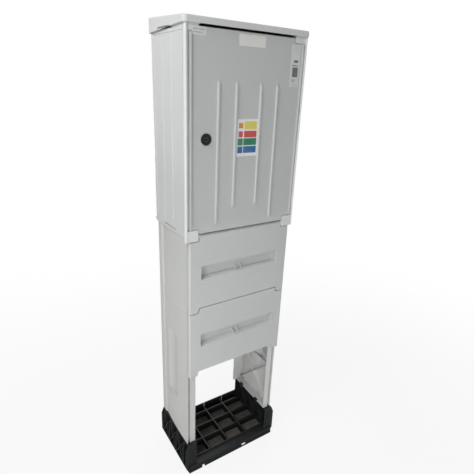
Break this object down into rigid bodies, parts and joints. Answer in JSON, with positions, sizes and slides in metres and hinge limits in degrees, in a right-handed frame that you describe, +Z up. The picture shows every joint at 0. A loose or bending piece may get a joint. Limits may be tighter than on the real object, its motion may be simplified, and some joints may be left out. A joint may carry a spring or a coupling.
{
  "type": "electric meter box",
  "caption": "Free-standing outdoor meter cabinet with a hinged door on a two-leg cable pedestal with lift-off covers, standing in a ribbed base tray.",
  "frame": {"origin": "middle of the footprint at ground level", "axes": "+Z up, the door and the front covers face -Y, the door hinges on its +X side"},
  "size_m": [0.408, 0.25, 1.5198],
  "materials": {
    "grey_grp": "fine moulded, satin",
    "black_plastic": "moulded, half matt",
    "zinc_steel": "zinc plated",
    "zinc_casting": "die cast, satin",
    "seal_rubber": "closed cell foam rubber",
    "plate_plastic": "satin",
    "label_film": "printed film"
  },
  "bodies": {
    "cabinet": {"base_tray": "black_plastic", "cable_rail": "zinc_steel", "cable_rail_screws": "zinc_steel", "door_frame": "grey_grp", "door_seal": "seal_rubber", "floor_frame": "grey_grp", "left_leg": "grey_grp", "left_side_wall": "grey_grp", "leg_bolts": "zinc_steel", "leg_nuts": "zinc_steel", "lower_hinge_pin": "zinc_steel", "lower_rear_panel": "grey_grp", "meter_plate": "plate_plastic", "pivot_washer": "black_plastic", "plate_screws": "zinc_steel", "rear_panel_screws": "zinc_steel", "rear_wall": "grey_grp", "right_leg": "grey_grp", "right_side_wall": "grey_grp", "roof_brackets": "grey_grp", "roof_cap": "grey_grp", "roof_screws": "zinc_steel", "upper_hinge_pin": "zinc_steel", "upper_rear_panel": "grey_grp"},
    "door": {"door": "grey_grp", "lock_body": "black_plastic", "lock_nut": "black_plastic", "rod_guides": "black_plastic", "instruction_label": "label_film", "name_plate": "label_film", "corner_sticker": "label_film", "strip_label": "label_film"},
    "lock": {"lock_barrel": "zinc_casting", "lock_cam": "zinc_casting"},
    "upper_rod": {"upper_lock_rod": "zinc_steel"},
    "lower_rod": {"lower_lock_rod": "zinc_steel"},
    "upper_cover": {"upper_front_cover": "grey_grp"},
    "lower_cover": {"lower_front_cover": "grey_grp"}
  },
  "joints": [
    {"name": "door_hinge", "type": "hinge", "parent": "cabinet", "child": "door", "pos_m": [0.1815, -0.113, 1.2], "axis": [0, 0, 1], "range_deg": [0, 100]},
    {"name": "lock_turn", "type": "hinge", "parent": "door", "child": "lock", "pos_m": [-0.133, -0.1, 1.211], "axis": [0, -1, 0], "range_deg": [0, 90]},
    {"name": "upper_rod_slide", "type": "slide", "parent": "door", "child": "upper_rod", "axis": [0, 0, 1], "range_m": [0, 0.015]},
    {"name": "lower_rod_slide", "type": "slide", "parent": "door", "child": "lower_rod", "axis": [0, 0, -1], "range_m": [0, 0.015]},
    {"name": "upper_cover_lift_off", "type": "slide", "parent": "cabinet", "child": "upper_cover", "axis": [0, -1, 0], "range_m": [0, 0.15]},
    {"name": "lower_cover_lift_off", "type": "slide", "parent": "cabinet", "child": "lower_cover", "axis": [0, -1, 0], "range_m": [0, 0.15]}
  ],
  "couplings": [
    {"joint": "lock_turn", "follows": "upper_rod_slide", "rad_per_m": 104.72},
    {"joint": "lower_rod_slide", "follows": "upper_rod_slide", "ratio": 1}
  ]
}
